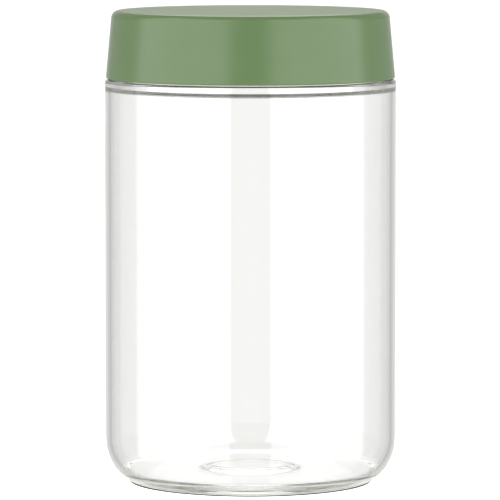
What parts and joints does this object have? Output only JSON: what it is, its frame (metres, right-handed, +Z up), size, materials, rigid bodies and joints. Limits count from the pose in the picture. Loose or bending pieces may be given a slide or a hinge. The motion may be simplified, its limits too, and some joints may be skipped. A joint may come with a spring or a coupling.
{
  "type": "disinfectant jar",
  "caption": "Clear straight-sided wide-mouth jar with a rounded heel and a smooth double-wall screw lid, for soaking or storing small tools.",
  "frame": {"origin": "on the jar's axis, at the plane it stands on", "axes": "+Z up along the jar's axis; the jar is round, so +X and +Y only fix where the threads start: both threads' lower ends are at +X"},
  "size_m": [0.095, 0.095, 0.1542],
  "materials": {
    "clear_glass": "clear, polished",
    "sage_plastic": "satin moulded",
    "inner_plastic": "satin moulded",
    "liner_foam": "soft foamed sheet"
  },
  "bodies": {
    "jar": {"jar_body": "clear_glass"},
    "liner": {"lid_liner": "liner_foam"},
    "lid": {"lid_shell": "sage_plastic", "lid_insert": "inner_plastic"}
  },
  "joints": [
    {"name": "lid_lift", "type": "slide", "parent": "jar", "child": "liner", "axis": [0, 0, 1], "range_m": [0, 0.02032]},
    {"name": "lid_turn", "type": "hinge", "parent": "liner", "child": "lid", "pos_m": [0, 0, 0.1512], "axis": [0, 0, 1], "range_deg": [0, 1440]}
  ],
  "couplings": [
    {"joint": "lid_lift", "follows": "lid_turn", "m_per_rad": 0.00080851}
  ]
}
